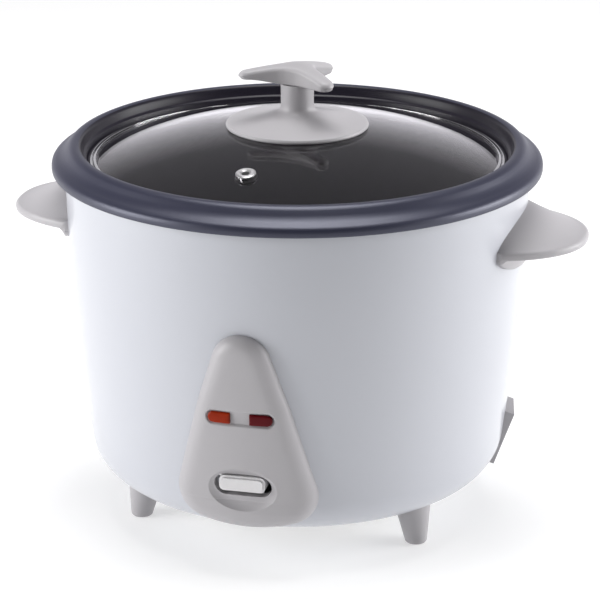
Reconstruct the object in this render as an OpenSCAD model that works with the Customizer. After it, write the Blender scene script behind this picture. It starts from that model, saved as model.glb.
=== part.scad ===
// Electric rice cooker with a lift-out pot, glass lid, cook lever and keep-warm thermostat.
// Millimetres. +Z is up, the front (control panel) faces -Y, the feet stand on z = 0.

/* [Body] */
// Outer radius of the steel body at its top edge
body_r = 123; // [118:1:124]
// Height of the body's top edge above the table
body_top_z = 190; // [188:1:191]
// Thickness of the body's sheet steel
sheet = 1.0; // [0.8:0.1:1.2]

/* [Pot and lid] */
// Outer radius of the pot's rolled rim
rim_r = 130; // [127:1:132]
// Wall thickness of the pot
pot_wall = 1.5; // [1.2:0.1:2.0]
// Height of the lid dome's top above the table
lid_top_z = 214.1; // [212:0.1:215]
// Rise of the glass dome over its edge
lid_rise = 18.9; // [17:0.1:20]
// Thickness of the lid glass
glass_t = 4; // [3.5:0.5:4]
// Overall height, at the top of the knob
total_h = 246; // [242:1:250]

/* [Handles] */
// Distance from the axis to a handle's tip
handle_tip_r = 156; // [150:1:162]
// Half the handle's width at the body
handle_half_w = 44.5; // [40:0.5:46]
// Height of the handle's flat top
handle_z = 163.2; // [160:0.2:165]

/* [Control panel] */
// How far the panel stands out from the body
panel_proud = 7; // [5:0.5:8]
// Height of the indicator lenses
lens_z = 93.4; // [90:0.2:96]
// Height of the lever slot
slot_z = 55; // [53:0.5:56]

/* [Feet and inlet] */
// Distance from the axis to a foot's centre
foot_r = 89; // [86:1:91]
// Turn of each front foot away from the panel, in degrees
foot_turn = 58.5; // [56:0.5:62]
// Turn of the power inlet away from the panel, in degrees
inlet_turn = 100; // [96:1:104]

/* [Hidden] */
$fn = 96;

// Colours
white = [0.93, 0.94, 0.95];
grey = [0.72, 0.72, 0.73];
steel = [0.78, 0.78, 0.80];
slate = [0.27, 0.29, 0.36];
ceramic_white = [0.9, 0.88, 0.84];

// Body shell: a drawn can whose wall leans and bows, then a round corner and a shallow cone
corner_r = 24;
corner_mid_r = 88.6;
corner_mid_z = 46.1;
cone_slope = 22;
ring_r = 72;
ring_hole_r = 58;
wall_steps = 10;
corner_steps = 9;
function wall_r(z) = body_r - 0.0125 * (body_top_z - z) - 0.000407 * pow(body_top_z - z, 2);
function corner_a(i) = -90 + cone_slope + i * (84 - cone_slope) / corner_steps;
corner_low_z = corner_mid_z + corner_r * sin(-90 + cone_slope);
corner_low_r = corner_mid_r + corner_r * cos(-90 + cone_slope);
ring_z = corner_low_z - (corner_low_r - ring_r) * tan(cone_slope);
floor_z = ring_z + sheet;

// Outer profile from the bottom ring to the top edge, moved inwards by t
function body_profile(t) = concat(
    [[ring_r, ring_z + t]],
    [for (i = [0:corner_steps])
        [corner_mid_r + (corner_r - t) * cos(corner_a(i)),
         corner_mid_z + (corner_r - t) * sin(corner_a(i))]],
    [for (i = [1:wall_steps])
        let (z = corner_mid_z + (body_top_z - corner_mid_z) * i / wall_steps) [wall_r(z) - t, z]]
);
function reversed(list) = [for (i = [len(list) - 1:-1:0]) list[i]];
function arc(x, y, r, a0, a1, n) =
    [for (i = [0:n]) let (a = a0 + (a1 - a0) * i / n) [x + r * cos(a), y + r * sin(a)]];
function ellipse(x, y, rx, ry, a0, a1, n) =
    [for (i = [0:n]) let (a = a0 + (a1 - a0) * i / n) [x + rx * cos(a), y + ry * sin(a)]];

// Inside the body
liner_r = 112;
liner_low_z = 64;
plate_low_z = 66;
plate_top_z = 76;
plate_r = 87;
element_r = 62;
element_tube_r = 3.6;
element_z = plate_low_z - element_tube_r;
element_gap_turn = 135;
block_turn = 135;
lead_r = 1.1;
leg_turns = [60, 180, 300];
bottom_screw_turns = [0, 60, 180, 300];
bottom_screw_r = 64;
leg_screw_r = 77;

// Lever: hinge line, and the paddle's place in the slot
pivot_y = -78;
pivot_z = 50;
pin_r = 2.0;
paddle_w = 24;
paddle_low_z = 52.4;
paddle_top_z = 60.6;
slot_w = 30;
slot_h = 12.4;
panel_screw_z = [76, 114];
handle_screw_x = [-16, 16];
handle_root_z = handle_z - 3.2;
dish_floor_y = wall_r(slot_z) + panel_proud - 2.2;
lens_front_y = wall_r(lens_z) + panel_proud + 0.9;

// Plunger and temperature sensor on the axis
tube_r = 14;
collar_z = 36.4;
magnet_r = 8.5;
magnet_top_z = 55.9;
cup_z = 44.5;

// Switch leaf
leaf_x = 14;
leaf_w = 6;
leaf_pivot_y = -60;
leaf_pivot_z = 38.3;

// Lid dome, a part of a sphere
glass_edge_r = 107;
dome_r = (pow(108, 2) + pow(lid_rise, 2)) / (2 * lid_rise);
dome_mid_z = lid_top_z - dome_r;
function dome_z(r) = dome_mid_z + sqrt(dome_r * dome_r - r * r);
function dome_under_z(r) = dome_mid_z + sqrt(pow(dome_r - glass_t, 2) - r * r);
vent_r = 73.5;
vent_turn = -7.3;
knob_disc_r = 37.8;
washer_z = lid_top_z - glass_t - 1.3;
knob_turn = 13.4;
stem_top_z = 235;

// Inlet: a flat housing set in the corner of the body
inlet_tilt = 20;
inlet_mid_r = 108.9;
inlet_mid_z = 41.8;
inlet_w = 24;
inlet_h = 31;
inlet_proud = 4.6;
function inlet_point(u, v, w) =
    let (radial = inlet_mid_r + v * sin(inlet_tilt) + w * cos(inlet_tilt),
         z = inlet_mid_z + v * cos(inlet_tilt) - w * sin(inlet_tilt))
    [radial * sin(inlet_turn) + u * cos(inlet_turn),
     -radial * cos(inlet_turn) + u * sin(inlet_turn), z];

// Turn the front (-Y) side of a shape to another place round the axis
module turned(turn) {
    rotate([0, 0, turn]) children();
}

module at_vent() {
    turned(vent_turn)
        translate([0, -vent_r, dome_z(vent_r)])
            rotate([asin(vent_r / dome_r), 0, 0]) children();
}

module at_inlet() {
    turned(inlet_turn)
        translate([0, -inlet_mid_r, inlet_mid_z])
            rotate([inlet_tilt, 0, 0]) children();
}

// Everything inside the body's outer face, grown by gap
module body_envelope(gap) {
    rotate_extrude()
        polygon(concat([[0, ring_z - gap]], body_profile(-gap), [[0, body_top_z]]));
}

// Panel outline: a nearly flat bottom, two round corners and leaning sides that meet in a round top.
// Each circle is x, z, radius, and the stretches between them are common tangents.
egg_corner = [18.5, 48.5, 18.3];
egg_side = [0, 92, 24.8];
egg_top = [0, 121.5, 15.5];
egg_bottom = [0, 104, 76.8];
function tangent_a(p, q) =
    let (dx = p[0] - q[0], dz = p[1] - q[1])
    acos((q[2] - p[2]) / norm([dx, dz])) - atan2(-dz, dx);
function egg_points(inset) =
    let (a0 = atan2(egg_corner[1] - egg_bottom[1], egg_corner[0]),
         a1 = tangent_a(egg_corner, egg_side),
         a2 = tangent_a(egg_side, egg_top),
         right = concat(
             arc(0, egg_bottom[1], egg_bottom[2] - inset, -89, a0, 6),
             arc(egg_corner[0], egg_corner[1], egg_corner[2] - inset, a0 + 2, a1, 14),
             arc(0, egg_side[1], egg_side[2] - inset, a1, a2, 2),
             arc(0, egg_top[1], egg_top[2] - inset, a2 + 2, 89, 8)))
    concat(right, [for (p = reversed(right)) [-p[0], p[1]]]);
function stadium_points(z, w, h, steps = 12) = concat(
    arc(w / 2 - h / 2, z, h / 2, -90, 90, steps),
    arc(h / 2 - w / 2, z, h / 2, 90, 270, steps)
);
function rounded_box_points(x, z0, z1, r) = concat(
    arc(x - r, z0 + r, r, -90, 0, 5),
    arc(x - r, z1 - r, r, 0, 90, 5),
    arc(r - x, z1 - r, r, 90, 180, 5),
    arc(r - x, z0 + r, r, 180, 270, 5)
);

// A flat outline in X and Z, drawn out along Y between two distances in front of the axis
module front_prism(points, near, far) {
    translate([0, -near, 0])
        rotate([90, 0, 0]) linear_extrude(far - near) polygon(points);
}

module radial_hole(turn, x, z, r, near, far) {
    turned(turn)
        translate([x, -near, z])
            rotate([90, 0, 0]) cylinder(h = far - near, r = r);
}

// A round wire or lead swept through a list of points with cross-sections across the path
wire_sides = 8;
function unit(v) = v / norm(v);
function path_dir(p, i) = unit(p[min(i + 1, len(p) - 1)] - p[max(i - 1, 0)]);
function side_dir(d, up) = unit(cross(d, up));
module swept_tube(path, r, up) {
    n = len(path);
    points = [for (i = [0:n - 1])
        let (d = path_dir(path, i), s = side_dir(d, up), t = cross(s, d))
        for (k = [0:wire_sides - 1])
            let (a = 360 * k / wire_sides) path[i] + r * (cos(a) * s + sin(a) * t)];
    sides = [for (i = [0:n - 2]) for (k = [0:wire_sides - 1])
        let (k1 = (k + 1) % wire_sides)
        [i * wire_sides + k, i * wire_sides + k1, (i + 1) * wire_sides + k1, (i + 1) * wire_sides + k]];
    first = [for (k = [wire_sides - 1:-1:0]) k];
    last = [for (k = [0:wire_sides - 1]) (n - 1) * wire_sides + k];
    polyhedron(points = points, faces = concat(sides, [first], [last]), convexity = 6);
}

// A smooth curve from p0 to p3 that leaves towards p1 and arrives from p2
function bezier(p0, p1, p2, p3, n) = [for (i = [0:n])
    let (t = i / n, s = 1 - t) s * s * s * p0 + 3 * s * s * t * p1 + 3 * s * t * t * p2 + t * t * t * p3];

module coil_spring(r, wire, z0, z1, turns) {
    steps = turns * 12;
    path = [for (i = [0:steps])
        let (a = 360 * turns * i / steps) [r * cos(a), r * sin(a), z0 + (z1 - z0) * i / steps]];
    swept_tube(path, wire, [0, 0, 1]);
}

module pan_screw(r, length, head_r, head_h) {
    translate([0, 0, -head_h]) cylinder(h = head_h, r = head_r);
    cylinder(h = length, r = r);
}

module outer_body() {
    color(white)
        difference() {
            rotate_extrude()
                polygon(concat(
                    [[ring_hole_r, floor_z], [ring_hole_r, ring_z]],
                    body_profile(0),
                    [[body_r - 6, body_top_z], [body_r - 6, body_top_z - sheet],
                     [body_r - sheet, body_top_z - sheet]],
                    [for (p = reversed(body_profile(sheet))) if (p[1] < body_top_z - sheet) p]
                ));
            // Lamp window and lever window behind the panel
            front_prism(rounded_box_points(17.4, lens_z - 4.6, lens_z + 4.6, 2), 105, 135);
            front_prism(rounded_box_points(14, 46, 64, 3), 105, 135);
            for (z = panel_screw_z)
                radial_hole(0, 0, z, 1.6, 105, 135);
            for (turn = [-90, 90])
                for (x = handle_screw_x)
                    radial_hole(turn, x, handle_root_z, 2.1, 105, 135);
            at_inlet()
                translate([-inlet_w / 2 - 0.1, -20, -inlet_h / 2 - 0.1])
                    cube([inlet_w + 0.2, 40, inlet_h + 0.2]);
            for (turn = foot_turns())
                foot_screw_axis(turn)
                    translate([0, 0, -8]) cylinder(h = 16, r = 2.1);
            for (turn = bottom_screw_turns)
                turned(turn)
                    translate([0, -bottom_screw_r, ring_z - 2]) cylinder(h = 6, r = 2.1);
        }
}

module bottom_plate() {
    color(steel)
        difference() {
            rotate_extrude()
                polygon([[0, ring_z - 1], [68, ring_z - 1], [70, ring_z - 0.6], [70, ring_z], [0, ring_z]]);
            for (turn = bottom_screw_turns)
                turned(turn)
                    translate([0, -bottom_screw_r, ring_z - 3]) cylinder(h = 6, r = 2.1);
            // Cooling slots in three fans
            for (fan = [45, 225, 315], k = [-2:2])
                turned(fan + k * 13)
                    translate([0, 0, ring_z - 2])
                        linear_extrude(4)
                            polygon([for (p = stadium_points(0, 16, 4, 6)) [p[1], p[0] - 43]]);
        }
}

module bottom_plate_screws() {
    color(steel)
        for (turn = bottom_screw_turns)
            turned(turn)
                translate([0, -bottom_screw_r, ring_z - 1]) pan_screw(2.0, 6, 3.8, 2.2);
}

function foot_turns() = [-foot_turn, foot_turn, 180];

// The line a foot's screw follows, square to the cone, with its own +Z pointing down and out
module foot_screw_axis(turn) {
    seat_r = 86;
    turned(turn)
        translate([0, -seat_r, ring_z + (seat_r - ring_r) * tan(cone_slope)])
            rotate([180 - cone_slope, 0, 0]) children();
}

module foot(turn) {
    difference() {
        turned(turn)
            hull() {
                translate([0, -foot_r, 0]) cylinder(h = 1.2, r1 = 5.4, r2 = 6, $fn = 32);
                translate([0, -foot_r + 3.6, 22]) cylinder(h = 6, r = 10.6, $fn = 32);
            }
        body_envelope(0);
        foot_screw_axis(turn) cylinder(h = 11, r = 1.95);
    }
}

module foot_front_left() {
    color(grey) foot(foot_turns()[0]);
}

module foot_front_right() {
    color(grey) foot(foot_turns()[1]);
}

module foot_rear() {
    color(grey) foot(foot_turns()[2]);
}

module foot_screws() {
    color(steel)
        for (turn = foot_turns())
            foot_screw_axis(turn)
                translate([0, 0, -sheet - 0.02]) pan_screw(1.9, 11, 3.6, 2);
}

// One handle: a leaf-shaped flange that sweeps up and down into an oval foot on the wall
module handle(turn) {
    flange_t = 4.2;
    turned(turn)
        difference() {
            union() {
                translate([0, 0, handle_z - flange_t])
                    linear_extrude(flange_t) polygon(handle_outline());
                intersection() {
                    front_prism(handle_root(42, 15.5, 13), 100, 135);
                    body_envelope(3);
                }
                hull() {
                    front_prism(handle_root(39, 12, 9.5), 117, 122.5);
                    translate([-24, -138, handle_z - flange_t]) cube([48, 3, flange_t]);
                }
            }
            turned(-turn) body_envelope(0);
            for (x = handle_screw_x)
                radial_hole(0, x, handle_root_z, 1.95, 100, 132);
        }
}
function handle_outline() =
    let (root_r = 112, n = 24)
    [for (i = [-n:n])
        let (share = i / n)
        [handle_half_w * share, -root_r - (handle_tip_r - root_r) * pow(1 - pow(abs(share), 2.3), 0.68)]];
function handle_root(w, up, down) = concat(
    ellipse(0, handle_root_z, w, up, 0, 180, 16),
    ellipse(0, handle_root_z, w, down, 192, 348, 13)
);

module handle_left() {
    color(grey) handle(-90);
}

module handle_right() {
    color(grey) handle(90);
}

module handle_screws() {
    color(steel)
        for (turn = [-90, 90], x = handle_screw_x)
            turned(turn)
                translate([x, -119.4, handle_root_z])
                    rotate([90, 0, 0]) pan_screw(1.9, 12, 3.6, 2.4);
}

module control_panel() {
    color(grey)
        difference() {
            union() {
                intersection() {
                    front_prism(egg_points(0), 95, 140);
                    body_envelope(panel_proud - 2.5);
                }
                intersection() {
                    front_prism(egg_points(3), 95, 140);
                    body_envelope(panel_proud);
                }
            }
            body_envelope(0.05);
            // Lever slot in its oval dish
            front_prism(ellipse(0, slot_z - 2, 18, 12.2, 0, 354, 59), dish_floor_y, 140);
            front_prism(stadium_points(slot_z, slot_w, slot_h), 95, 140);
            // Lens strip and the two lens windows
            front_prism(stadium_points(lens_z, 35, 7.4), lens_front_y - 1.4, 140);
            front_prism(lens_points(-1, 0.15), 95, 140);
            front_prism(lens_points(1, 0.15), 95, 140);
            for (z = panel_screw_z)
                radial_hole(0, 0, z, 1.45, 105, wall_r(z) + 5);
        }
}

// A lens: round outer end, flat inner end
function lens_points(side, gap) = [for (p = concat(
    arc(16.8 - 2.95, lens_z, 2.95 + gap, -90, 90, 12),
    [[5 - gap, lens_z + 2.95 + gap], [5 - gap, lens_z - 2.95 - gap]])) [side * p[0], p[1]]];

module keep_warm_lens() {
    color([0.9, 0.38, 0.06]) front_prism(lens_points(-1, 0), wall_r(lens_z) + 1.4, lens_front_y);
}

module cook_lens() {
    color([0.55, 0.05, 0.1]) front_prism(lens_points(1, 0), wall_r(lens_z) + 1.4, lens_front_y);
}

module panel_screws() {
    color(steel)
        for (z = panel_screw_z)
            translate([0, -wall_r(z) + sheet + 0.3, z])
                rotate([90, 0, 0]) pan_screw(1.4, 5.6, 2.6, 1.6);
}

module lamp_holder() {
    back_y = 113.8;
    front_y = 117.6;
    color([0.93, 0.91, 0.86]) {
        translate([-21, -back_y, lens_z - 7]) cube([42, 1, 14]);
        translate([-1.5, -front_y, lens_z - 3.6]) cube([3, front_y - back_y, 7.2]);
        for (x = [-19.4, 19.4])
            translate([x, -back_y, lens_z]) rotate([90, 0, 0]) cylinder(h = 1.2, r = 1.5);
    }
}

module neon_lamps() {
    color([0.95, 0.75, 0.6])
        for (x = [5, -15.5])
            translate([x, -116, lens_z]) rotate([0, 90, 0]) cylinder(h = 10.5, r = 2.2);
}

module inlet_housing() {
    color(grey)
        at_inlet()
            difference() {
                union() {
                    translate([-inlet_w / 2, -inlet_proud, -inlet_h / 2])
                        cube([inlet_w, inlet_proud + 5, inlet_h]);
                    translate([-10.5, -inlet_proud, -13.5]) cube([21, inlet_proud + 15, 27]);
                }
                // Socket with two cut corners
                translate([0, 12, 0])
                    rotate([90, 0, 0])
                        linear_extrude(30)
                            polygon([[-8.3, -12.2], [4.3, -12.2], [8.3, -8.2],
                                     [8.3, 8.2], [4.3, 12.2], [-8.3, 12.2]]);
                for (p = inlet_pin_places())
                    translate([p[0] - 1.1, 5, p[1] - 2.1]) cube([2.2, 12, 4.2]);
            }
}
function inlet_pin_places() = [[3, -7], [3, 7], [-1, 0]];

module inlet_pins() {
    color(steel)
        at_inlet()
            for (p = inlet_pin_places())
                translate([p[0] - 1, -1, p[1] - 2]) cube([2, 21, 4]);
}

module inner_liner() {
    t = 0.8;
    color(steel)
        rotate_extrude()
            polygon([[94, liner_low_z], [liner_r - 2, liner_low_z], [liner_r, liner_low_z + 2],
                     [liner_r, body_top_z], [body_r - 1.4, body_top_z], [body_r - 1.4, body_top_z + t],
                     [liner_r - t, body_top_z + t], [liner_r - t, liner_low_z + 2.4],
                     [liner_r - 2.4, liner_low_z + t], [94, liner_low_z + t]]);
}

module heating_plate() {
    color([0.75, 0.75, 0.76])
        difference() {
            rotate_extrude()
                polygon([[16.5, plate_low_z], [plate_r, plate_low_z], [plate_r, plate_top_z - 3],
                         [plate_r - 3, plate_top_z], [16.5, plate_top_z]]);
            for (turn = leg_turns)
                turned(turn)
                    translate([0, -leg_screw_r, plate_low_z - 1]) cylinder(h = 8, r = 1.95);
        }
}

module heater_element() {
    color([0.45, 0.45, 0.46]) {
        rotate([0, 0, element_gap_turn + 20 - 90])
            rotate_extrude(angle = 320)
                translate([element_r, element_z]) circle(r = element_tube_r, $fn = 32);
        for (turn = [element_gap_turn - 20, element_gap_turn + 20])
            turned(turn)
                translate([0, -element_r, 54]) cylinder(h = element_z - 54 + 1, r = element_tube_r - 0.5);
    }
}

module heater_terminals() {
    color(steel)
        for (turn = [element_gap_turn - 20, element_gap_turn + 20])
            turned(turn) {
                translate([0, -element_r, 50]) cylinder(h = 4, r = 2);
                translate([-3, -element_r - 0.4, 42]) cube([6, 0.8, 8]);
            }
}

module support_legs() {
    color(steel)
        for (turn = leg_turns)
            turned(turn)
                difference() {
                    union() {
                        translate([-7, -71, floor_z]) cube([14, 13, 1.2]);
                        translate([-7, -71, floor_z]) cube([14, 1.2, plate_low_z - floor_z]);
                        translate([-7, -83, plate_low_z - 1.2]) cube([14, 13.2, 1.2]);
                    }
                    translate([0, -bottom_screw_r, floor_z - 1]) cylinder(h = 4, r = 2.1);
                    translate([0, -leg_screw_r, plate_low_z - 3]) cylinder(h = 6, r = 2.1);
                }
}

module heating_plate_screws() {
    color(steel)
        for (turn = leg_turns)
            turned(turn)
                translate([0, -leg_screw_r, plate_low_z - 1.2]) pan_screw(1.9, 7, 3.5, 2.2);
}

module thermostat_tube() {
    color(steel)
        rotate_extrude()
            polygon([[tube_r - 1, 44], [tube_r, 44], [tube_r, plate_low_z - 1.2],
                     [26, plate_low_z - 1.2], [26, plate_low_z], [9.9, plate_low_z],
                     [9.9, plate_low_z - 1.2], [tube_r - 1, plate_low_z - 1.2]]);
}

module sensor_cap() {
    color([0.8, 0.8, 0.82])
        rotate_extrude()
            polygon([[0, plate_top_z - 1.4], [14.5, plate_top_z - 1.4], [14.5, 70], [15.5, 70],
                     [15.5, plate_top_z - 1], [14.5, plate_top_z], [0, plate_top_z]]);
}

module sensor_magnet() {
    color([0.3, 0.3, 0.32])
        translate([0, 0, 63.5]) cylinder(h = plate_top_z - 1.4 - 63.5, r = magnet_r);
}

module sensor_spring() {
    color(steel) coil_spring(12.2, 0.55, plate_low_z + 0.6, plate_top_z - 2, 4);
}

module plunger_rod() {
    color(steel)
        rotate_extrude()
            polygon([[0, 26], [2, 26], [2, collar_z], [6, collar_z], [6, collar_z + 1.6],
                     [2, collar_z + 1.6], [2, cup_z], [12.2, cup_z], [12.2, cup_z + 1.5], [0, cup_z + 1.5]]);
}

module plunger_magnet() {
    color([0.3, 0.3, 0.32])
        translate([0, 0, cup_z + 1.5]) cylinder(h = magnet_top_z - cup_z - 1.5, r = magnet_r);
}

module plunger_spring() {
    color(steel) coil_spring(10.8, 0.6, cup_z + 2.2, plate_low_z - 1.9, 7);
}

module lever_arm() {
    half_w = 5;
    color(steel)
        difference() {
            union() {
                translate([-half_w, 0, 0])
                    rotate([90, 0, 90])
                        linear_extrude(2 * half_w)
                            polygon([[-112, 57.6], [-112, 55.6], [-90, 53.2], [-78, 49], [-66.5, 44.9],
                                     [-20.5, 33.9], [3, 33.9], [3, 35.9], [-20, 35.9],
                                     [-66, 47], [-77, 52], [-90, 55.4]]);
                translate([-half_w - 1, pivot_y, pivot_z])
                    rotate([0, 90, 0]) cylinder(h = 2 * half_w + 2, r = 4.5);
                // Pusher that lifts the switch leaf
                translate([half_w - 1, -33, 35.6]) cube([leaf_x + leaf_w - half_w + 1, 4, 1.9]);
            }
            translate([-2.6, -6, 30]) cube([5.2, 20, 10]);
            translate([-20, pivot_y, pivot_z]) rotate([0, 90, 0]) cylinder(h = 40, r = pin_r + 0.06);
        }
}

module lever_paddle() {
    color([0.97, 0.97, 0.97])
        difference() {
            union() {
                front_prism(rounded_box_points(paddle_w / 2, paddle_low_z, paddle_top_z, 2.6), 110, 120.6);
                front_prism(rounded_box_points(paddle_w / 2 - 1.2, paddle_low_z + 1.2, paddle_top_z - 1.2, 2),
                            120.6, 121.8);
            }
            translate([-5.1, -112.1, 53]) cube([10.2, 10, 9]);
        }
}

module lever_bracket() {
    color(steel)
        difference() {
            union() {
                translate([-9.2, -69.5, floor_z]) cube([18.4, 10.5, 1.2]);
                for (x = [-9.2, 8])
                    translate([x, 0, 0])
                        rotate([90, 0, 90])
                            linear_extrude(1.2)
                                polygon([[-59, floor_z], [-69.5, floor_z], [-84, 44],
                                         [-84, 56], [-72, 56], [-59, 24]]);
            }
            translate([0, -bottom_screw_r, floor_z - 1]) cylinder(h = 4, r = 2.1);
            translate([-20, pivot_y, pivot_z]) rotate([0, 90, 0]) cylinder(h = 40, r = pin_r);
        }
}

module lever_pin() {
    color(steel)
        translate([-10.6, pivot_y, pivot_z]) rotate([0, 90, 0]) cylinder(h = 21.2, r = pin_r);
}

module switch_base() {
    mid_x = leaf_x + leaf_w / 2;
    color([0.35, 0.22, 0.14]) {
        translate([9.2, -68, 26]) cube([17, 10, 10]);
        for (x = [mid_x - 6, mid_x + 4])
            translate([x, leaf_pivot_y - 2, 36]) cube([2, 4, 4.4]);
        translate([mid_x - 6, leaf_pivot_y, leaf_pivot_z]) rotate([0, 90, 0]) cylinder(h = 12, r = 0.74);
    }
}

module contact_leaf() {
    color([0.8, 0.55, 0.35])
        difference() {
            union() {
                translate([leaf_x, leaf_pivot_y, leaf_pivot_z - 0.3]) cube([leaf_w, 31, 0.6]);
                translate([leaf_x, leaf_pivot_y, leaf_pivot_z])
                    rotate([0, 90, 0]) cylinder(h = leaf_w, r = 1.5);
                translate([leaf_x + leaf_w / 2, -31, leaf_pivot_z + 0.3]) cylinder(h = 1.2, r = 1.8);
            }
            translate([leaf_x - 1, leaf_pivot_y, leaf_pivot_z])
                rotate([0, 90, 0]) cylinder(h = leaf_w + 2, r = 0.8);
        }
}

module fixed_contact() {
    mid_x = leaf_x + leaf_w / 2;
    color([0.8, 0.55, 0.35]) {
        translate([leaf_x, -67.6, 36]) cube([leaf_w, 0.8, 10.6]);
        translate([leaf_x, -67.6, 45.8]) cube([leaf_w, 38.6, 0.8]);
        translate([mid_x, -31, 44.2]) cylinder(h = 1.6, r = 1.8);
    }
}

module keep_warm_thermostat() {
    color([0.6, 0.6, 0.62])
        turned(150) {
            translate([0, -78, 61]) cylinder(h = plate_low_z - 61, r = 7);
            for (x = [-4, 3.2])
                translate([x, -80, 55]) cube([0.8, 4, 6]);
        }
}

module thermal_fuse() {
    color([0.85, 0.8, 0.7])
        turned(240)
            translate([-10, -74, plate_low_z - 2.2]) rotate([0, 90, 0]) cylinder(h = 20, r = 2.2);
}

module terminal_block() {
    color(ceramic_white)
        turned(block_turn)
            difference() {
                translate([-13, -44, ring_z]) cube([26, 14, 10]);
                for (x = [-8, 0, 8])
                    translate([x, -37, ring_z + 5]) cylinder(h = 10, r = 2.4);
            }
}

// A place on the terminal block: x across it, y outwards from the axis
function block_point(x, out, z) =
    [x * cos(block_turn) + out * sin(block_turn), x * sin(block_turn) - out * cos(block_turn), z];

// Supply leads, from an inlet pin to the outer face of the block
module inlet_lead(place, block_x) {
    lead_z = ring_z + 4;
    start = inlet_point(place[0], place[1], -20.5);
    out = inlet_point(place[0], place[1], -34);
    end = block_point(block_x, 44.5, lead_z);
    near_end = block_point(block_x, 60, lead_z);
    swept_tube(bezier(start, out, near_end, end, 12), lead_r, [0, 0, 1]);
}

module live_lead() {
    color([0.45, 0.26, 0.14]) inlet_lead(inlet_pin_places()[0], -8);
}

module earth_lead() {
    color([0.35, 0.6, 0.2]) inlet_lead(inlet_pin_places()[2], 0);
}

module neutral_lead() {
    color([0.15, 0.3, 0.65]) inlet_lead(inlet_pin_places()[1], 8);
}

// Leads from the block's outer wells up to the element's tabs
module heater_leads() {
    tab_z = 41.9;
    color([0.85, 0.83, 0.78])
        for (side = [-1, 1]) {
            turn = element_gap_turn + side * 20;
            top = [element_r * sin(turn), -element_r * cos(turn), tab_z];
            start = block_point(side * 8, 37, ring_z + 6);
            swept_tube(bezier(start, start + [0, 0, 14], top - [0, 0, 12], top, 12), lead_r, [1, 0, 0]);
        }
}

// Pot: its wall runs down to a round corner; its rim stands over the body like an upturned channel
pot_floor_z = plate_top_z;
pot_top_r = 110;
pot_corner_r = 16;
seat_z = 194;
crest_z = 204;
module inner_pot() {
    w = pot_wall;
    low_r = 106;
    color(slate)
        rotate_extrude()
            polygon(concat(
                // Outside, from the middle of the floor to the rim's rolled lower edge
                [[0, pot_floor_z]],
                arc(low_r - pot_corner_r, pot_floor_z + pot_corner_r, pot_corner_r, -90, -4, 8),
                [[pot_top_r, 191.6], [pot_top_r + 3.4, 192.6], [pot_top_r + 5.2, 202.2],
                 [118.8, 202.2], [120.6, 200.4], [122.6, 198.0], [125, 196.2], [127.4, 194.8],
                 [128.7, 193.2], [rim_r - 1, 191.6], [rim_r - 0.8, 191.2], [rim_r, 191.8],
                 // Back over the brim and the crest and down to the lid seat
                 [rim_r, 193.8], [129.6, 195.2], [128.4, 196.4], [126, 197.6], [124, 198.9],
                 [122, 201.2], [120.6, 203.2], [119.4, crest_z], [117.4, crest_z + 0.2],
                 [115.2, crest_z + 0.2], [114, crest_z - 1], [113, seat_z + 1],
                 [112.4, seat_z], [pot_top_r - 1.4, seat_z], [pot_top_r - w, 192.8]],
                arc(low_r - pot_corner_r, pot_floor_z + pot_corner_r, pot_corner_r - w, -4, -90, 8),
                [[0, pot_floor_z + w]]
            ));
}

module lid_glass() {
    steps = 12;
    color([0.75, 0.8, 0.82, 0.4])
        difference() {
            rotate_extrude()
                polygon(concat(
                    [for (i = [0:steps]) let (r = glass_edge_r * i / steps) [r, dome_z(r)]],
                    [for (i = [steps:-1:0]) let (r = glass_edge_r * i / steps) [r, dome_under_z(r)]]
                ));
            translate([0, 0, 195]) cylinder(h = 30, r = 3);
            at_vent() translate([0, 0, -10]) cylinder(h = 20, r = 4);
        }
}

module lid_rim() {
    // A band round the glass edge with a flange that rests on the pot's seat
    color(steel)
        rotate_extrude()
            polygon([[glass_edge_r, 191.2], [105.8, 191.2], [105.8, 190.4], [107.8, 190.4],
                     [107.8, seat_z], [110.2, seat_z], [110.2, 195.4], [109.8, 195.8],
                     [108.4, 195.8], [107.8, 196.4], [107.8, 196.7], [107.3, 197.1],
                     [106.2, 196.9], [106.2, 196.1], [glass_edge_r, 196.1]]);
}

module vent_eyelet() {
    color([0.85, 0.85, 0.87])
        at_vent()
            rotate_extrude()
                polygon([[2, -6], [5, -6], [5, -5.4], [3.8, -5.2], [3.8, 0.1], [5.2, 0.1],
                         [5.2, 0.6], [4.4, 1.1], [3, 1.1], [2, 0.4]]);
}

module vent_seal() {
    color([0.2, 0.2, 0.2])
        at_vent()
            rotate_extrude() polygon([[3.9, -5.1], [6, -5.1], [6, -4.15], [3.9, -4.15]]);
}

module knob_base() {
    gap = 0.05;
    color(grey)
        difference() {
            rotate_extrude()
                polygon(concat(
                    [for (i = [0:6]) let (r = knob_disc_r * i / 6) [r, dome_z(r) + gap]],
                    [[knob_disc_r, 213.2], [knob_disc_r - 1, 214.1], [30, 215.4], [18, 218.2], [12.4, 219.8]],
                    arc(12.8, 223.9, 4.1, 258, 180, 5),
                    [[8.7, stem_top_z], [0, stem_top_z]]
                ));
            translate([0, 0, 205]) cylinder(h = 26, r = 2.5);
        }
}

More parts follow.
